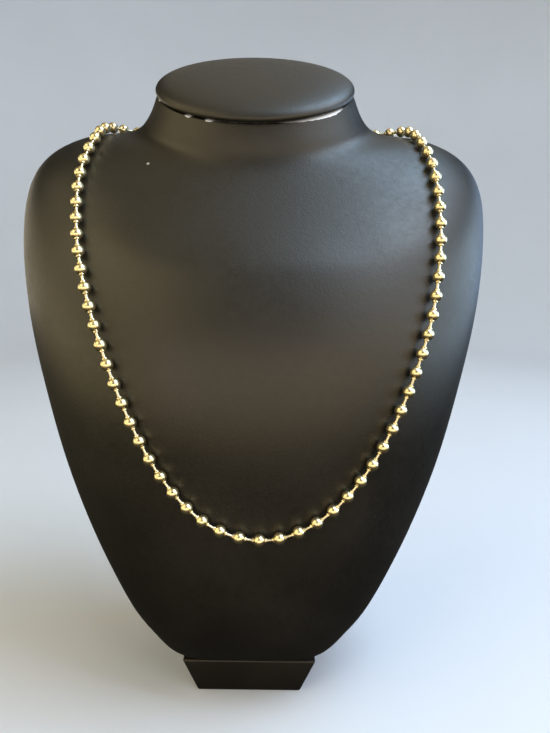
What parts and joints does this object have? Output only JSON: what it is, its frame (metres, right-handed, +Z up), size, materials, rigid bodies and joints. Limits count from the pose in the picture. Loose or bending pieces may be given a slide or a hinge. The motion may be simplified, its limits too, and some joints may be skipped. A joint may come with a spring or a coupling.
{
  "type": "bead station necklace on neck bust",
  "caption": "Round hollow beads joined by short bars in one loop, resting over the shoulders of a covered display bust with an oval neck cap and a tapered foot.",
  "frame": {"origin": "middle of the foot's resting face", "axes": "+Z up from the foot to the neck, the chest and the lowest bead face -Y, +X to the right as the chest is looked at"},
  "size_m": [0.21, 0.1202, 0.288],
  "materials": {
    "bust_cover": "fine grained black leatherette, semi-matt",
    "cap_cover": "fine grained black leatherette, semi-matt",
    "foot_cover": "fine grained black leatherette, semi-matt",
    "bead_metal": "polished yellow gold",
    "bar_metal": "drawn and polished yellow gold",
    "clasp_metal": "polished yellow gold"
  },
  "bodies": {
    "root": {"bust_form": "bust_cover", "neck_cap": "cap_cover", "foot_block": "foot_cover", "chain_beads": "bead_metal", "chain_bars": "bar_metal", "clasp_sleeve": "clasp_metal"}
  },
  "joints": []
}
